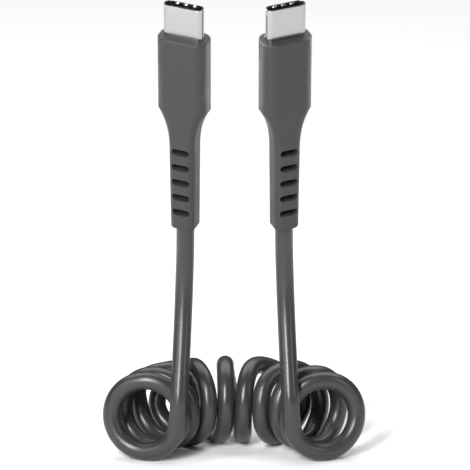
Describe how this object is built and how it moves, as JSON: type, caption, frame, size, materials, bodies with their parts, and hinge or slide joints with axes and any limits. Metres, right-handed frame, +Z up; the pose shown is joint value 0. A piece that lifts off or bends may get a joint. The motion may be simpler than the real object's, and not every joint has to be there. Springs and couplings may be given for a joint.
{
  "type": "coiled usb c cable",
  "caption": "Short coiled charging cable with a USB-C plug at each end, matte grey grips with slotted strain reliefs, and a glossy dark grey coiled cord bent into an arch.",
  "frame": {"origin": "centre of the bounding box's bottom, on the floor that the coil stands on", "axes": "+X to the right plug, +Y away from the viewer, into the coil's arch, +Z up to the plugs' mouths"},
  "size_m": [0.0538, 0.0399, 0.0958],
  "materials": {
    "shell_steel": "bright drawn steel",
    "carrier_black": "matte black",
    "overmould_grey": "matte mid grey",
    "cord_jacket": "glossy dark grey"
  },
  "bodies": {
    "root": {"plug_shell_left": "shell_steel", "plug_shell_right": "shell_steel", "contact_carrier_left": "carrier_black", "contact_carrier_right": "carrier_black", "overmould_left": "overmould_grey", "overmould_right": "overmould_grey", "lead_left": "cord_jacket", "lead_right": "cord_jacket", "coil": "cord_jacket"}
  },
  "joints": []
}
